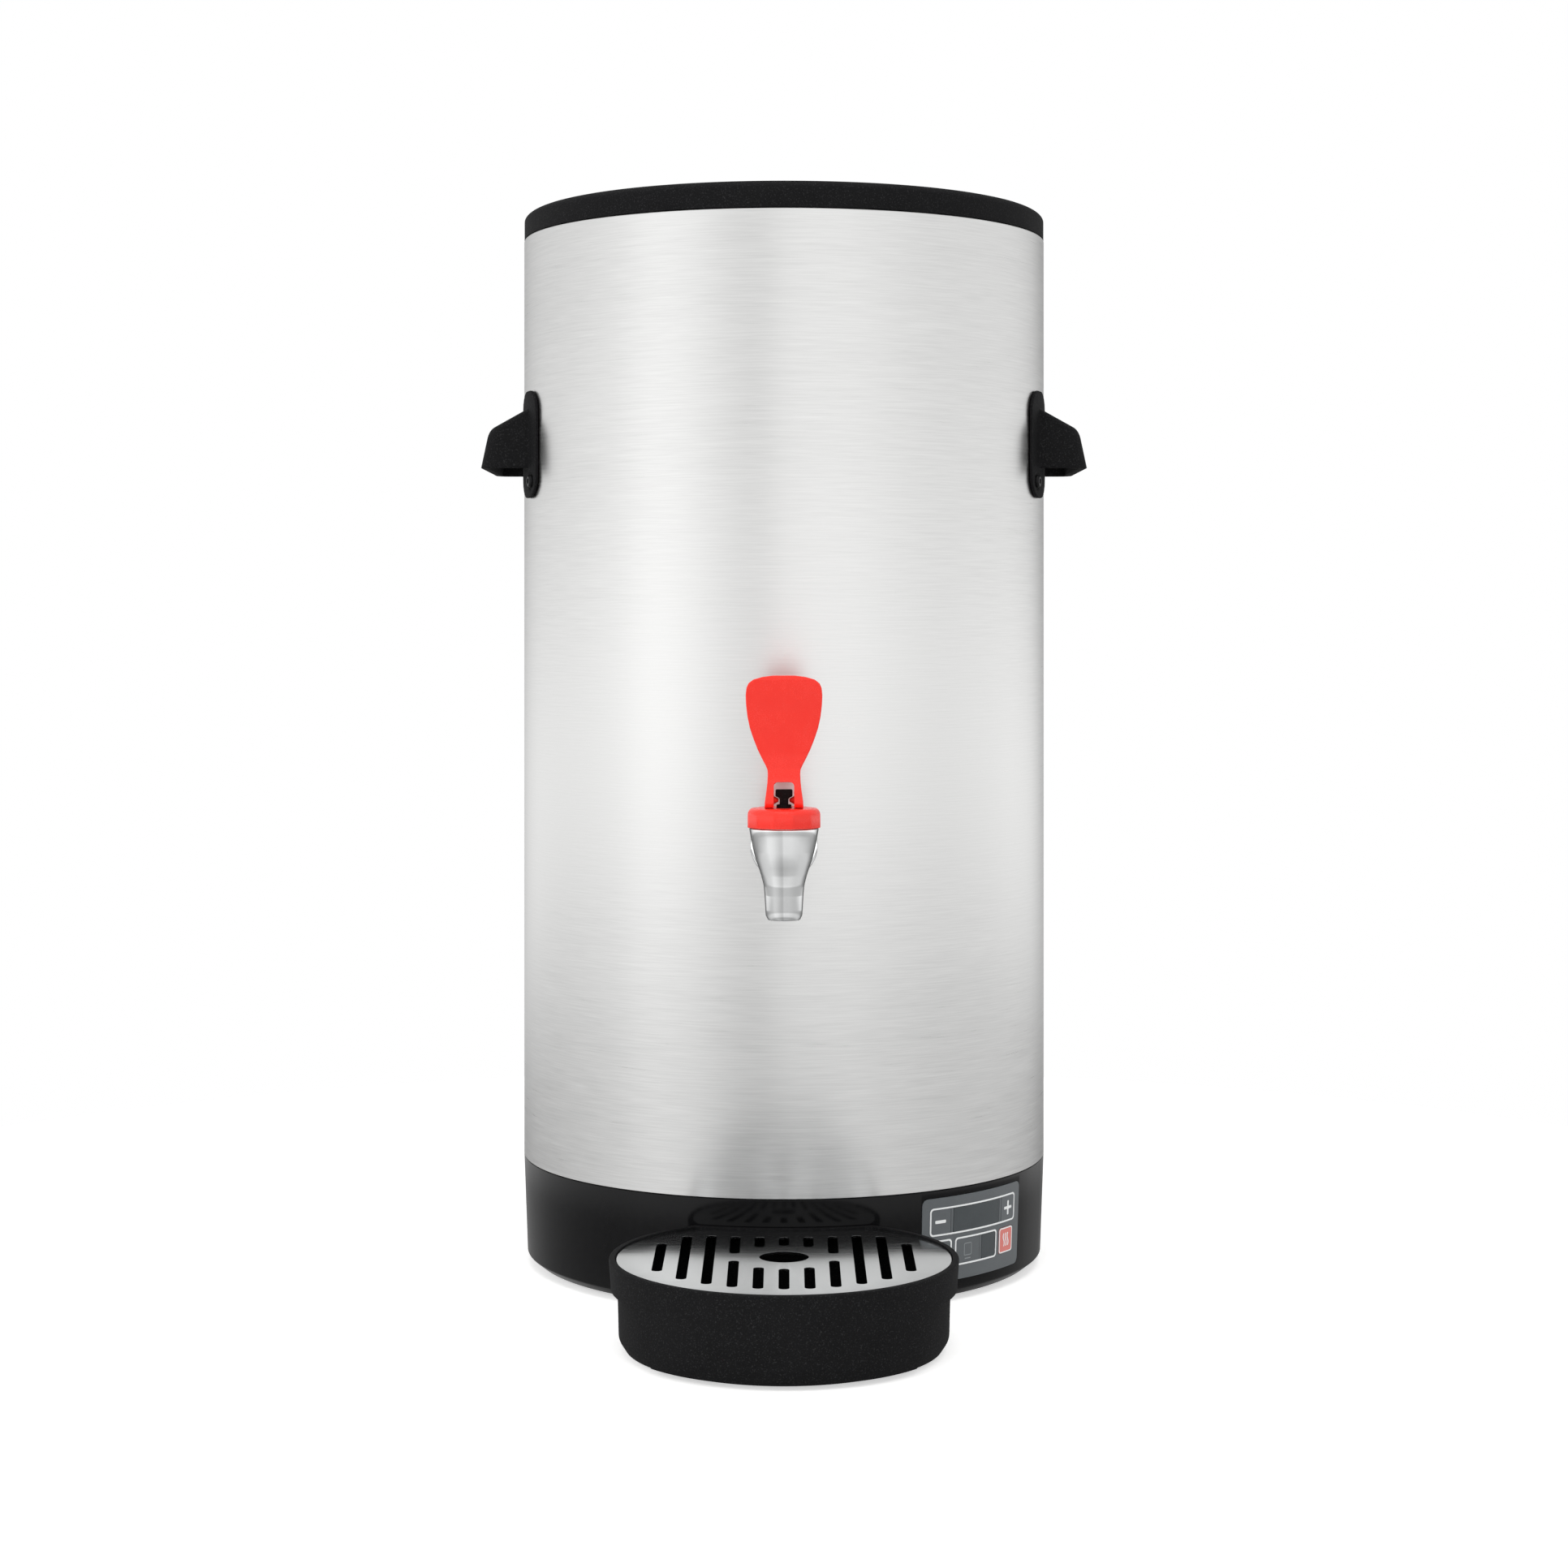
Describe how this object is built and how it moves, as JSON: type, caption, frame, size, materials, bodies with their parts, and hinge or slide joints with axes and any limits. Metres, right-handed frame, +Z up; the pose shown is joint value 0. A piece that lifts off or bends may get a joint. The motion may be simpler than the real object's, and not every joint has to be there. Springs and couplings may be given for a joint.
{
  "type": "hot water dispenser",
  "caption": "Round countertop hot water dispenser: brushed steel body, black base with key panel, lever tap over a round drip tray, side scoop handles and a lift-off lid.",
  "frame": {"origin": "on the counter, in the middle of the rectangle round the machine seen from above", "axes": "+Z up, the front with the tap and the drip tray towards -Y, +X to the right seen from the front"},
  "size_m": [0.3426, 0.4724, 0.6008],
  "materials": {
    "brushed_steel": "fine brushed stainless steel",
    "polished_metal": "polished plating",
    "plain_steel": "plain mill finish",
    "brass": "machined",
    "gloss_black": "glossy moulded",
    "matt_black": "fine textured moulded",
    "tap_red": "satin moulded",
    "key_red": "printed foil",
    "foil_grey": "printed foil",
    "window_grey": "smooth tinted",
    "seal_rubber": "silicone",
    "foot_rubber": "matt",
    "insulation_wool": "fibre wool wrap",
    "board_green": "circuit board lacquer",
    "white_plastic": "moulded"
  },
  "bodies": {
    "machine": {"base_housing": "gloss_black", "base_plate": "plain_steel", "outer_shell": "brushed_steel", "inner_tank": "plain_steel", "tank_support": "plain_steel", "insulation_jacket": "insulation_wool", "handle_left": "matt_black", "handle_right": "matt_black", "tap_body": "polished_metal", "tap_gasket": "seal_rubber", "tank_washer": "seal_rubber", "shank_nut": "plain_steel", "tap_bonnet": "tap_red", "tap_spring": "plain_steel", "panel_foil": "foil_grey", "display_window": "window_grey", "indicator_window": "window_grey", "control_board": "board_green", "display_module": "matt_black", "power_board": "board_green", "inlet_nipple": "plain_steel", "inlet_nut": "plain_steel", "inlet_valve": "matt_black", "valve_coil": "brass", "fill_hose": "seal_rubber", "cable_gland": "matt_black", "gland_nut": "matt_black", "overflow_pipe": "plain_steel", "element_plug": "brass", "heating_element": "plain_steel", "temperature_probe": "plain_steel", "boil_dry_cutout": "matt_black", "probe_holder": "white_plastic", "electrode_full": "plain_steel", "electrode_low": "plain_steel", "handle_screw_left_front": "plain_steel", "foot_front_left": "foot_rubber", "handle_screw_left_rear": "plain_steel", "foot_rear_left": "foot_rubber", "handle_screw_right_front": "plain_steel", "foot_front_right": "foot_rubber", "handle_screw_right_rear": "plain_steel", "foot_rear_right": "foot_rubber", "base_screw_1": "plain_steel", "base_screw_2": "plain_steel", "base_screw_3": "plain_steel"},
    "lid": {"lid": "matt_black", "lid_seal": "seal_rubber"},
    "lever": {"tap_lever": "tap_red"},
    "stem": {"tap_stem": "matt_black", "tap_seat": "seal_rubber"},
    "tray": {"drip_tray": "matt_black"},
    "grille": {"drip_grille": "brushed_steel"},
    "minus_button": {"key_minus": "foil_grey"},
    "plus_button": {"key_plus": "foil_grey"},
    "power_button": {"key_power": "foil_grey"},
    "cup_button": {"key_cup": "foil_grey"},
    "boil_button": {"key_boil": "key_red"}
  },
  "joints": [
    {"name": "lid_lift", "type": "slide", "parent": "machine", "child": "lid", "axis": [0, 0, 1], "range_m": [0, 0.15]},
    {"name": "lever_tilt", "type": "hinge", "parent": "machine", "child": "lever", "pos_m": [0, -0.1548, 0.2758], "axis": [1, 0, 0], "range_deg": [0, 30], "stiffness_Nm_per_rad": 0.4},
    {"name": "stem_lift", "type": "slide", "parent": "machine", "child": "stem", "axis": [0, 0, 1], "range_m": [0, 0.0035], "deforming": ["tap_spring"]},
    {"name": "tray_slide", "type": "slide", "parent": "machine", "child": "tray", "axis": [0, -1, 0], "range_m": [0, 0.12]},
    {"name": "grille_lift", "type": "slide", "parent": "tray", "child": "grille", "axis": [0, 0, 1], "range_m": [0, 0.06]},
    {"name": "minus_press", "type": "slide", "parent": "machine", "child": "minus_button", "axis": [-0.5635, 0.8261, 0], "range_m": [0, 0.0005], "stiffness_N_per_m": 500},
    {"name": "plus_press", "type": "slide", "parent": "machine", "child": "plus_button", "axis": [-0.8226, 0.5686, 0], "range_m": [0, 0.0005], "stiffness_N_per_m": 500},
    {"name": "power_press", "type": "slide", "parent": "machine", "child": "power_button", "axis": [-0.5642, 0.8256, 0], "range_m": [0, 0.0005], "stiffness_N_per_m": 500},
    {"name": "cup_press", "type": "slide", "parent": "machine", "child": "cup_button", "axis": [-0.6678, 0.7443, 0], "range_m": [0, 0.0005], "stiffness_N_per_m": 500},
    {"name": "boil_press", "type": "slide", "parent": "machine", "child": "boil_button", "axis": [-0.8181, 0.575, 0], "range_m": [0, 0.0005], "stiffness_N_per_m": 500}
  ],
  "couplings": [
    {"joint": "stem_lift", "follows": "lever_tilt", "m_per_rad": 0.0065}
  ]
}
